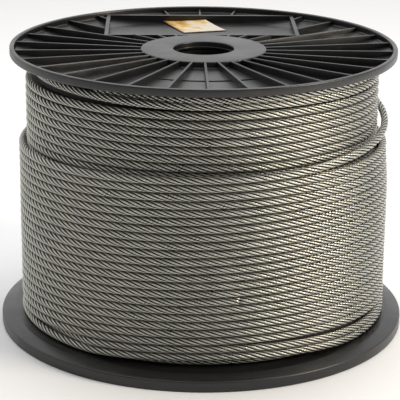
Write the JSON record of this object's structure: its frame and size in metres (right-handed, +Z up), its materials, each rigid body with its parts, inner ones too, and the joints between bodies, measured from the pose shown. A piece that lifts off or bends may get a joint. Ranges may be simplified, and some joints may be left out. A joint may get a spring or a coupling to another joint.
{
  "type": "reel of steel wire rope",
  "caption": "Coil of stranded steel wire rope wound in layers on a flanged plastic reel with ribbed flanges and a central spindle bore.",
  "frame": {"origin": "centre of the bottom flange's standing face, on the reel's axis", "axes": "+Z up along the reel's axis, from the larger flange to the smaller one; +Y from the axis towards the label recess, so the plain ribbed front looks along -Y"},
  "size_m": [0.268, 0.268, 0.186],
  "materials": {
    "flange_plastic": "moulded, satin, lightly scuffed",
    "barrel_plastic": "moulded, matt",
    "rope_steel": "galvanised stranded wire, dull",
    "label_paper": "printed paper, matt"
  },
  "bodies": {
    "root": {"bottom_flange": "flange_plastic", "top_flange": "flange_plastic", "barrel": "barrel_plastic", "rope_coil": "rope_steel", "rope_last_turn": "rope_steel", "label": "label_paper"}
  },
  "joints": []
}
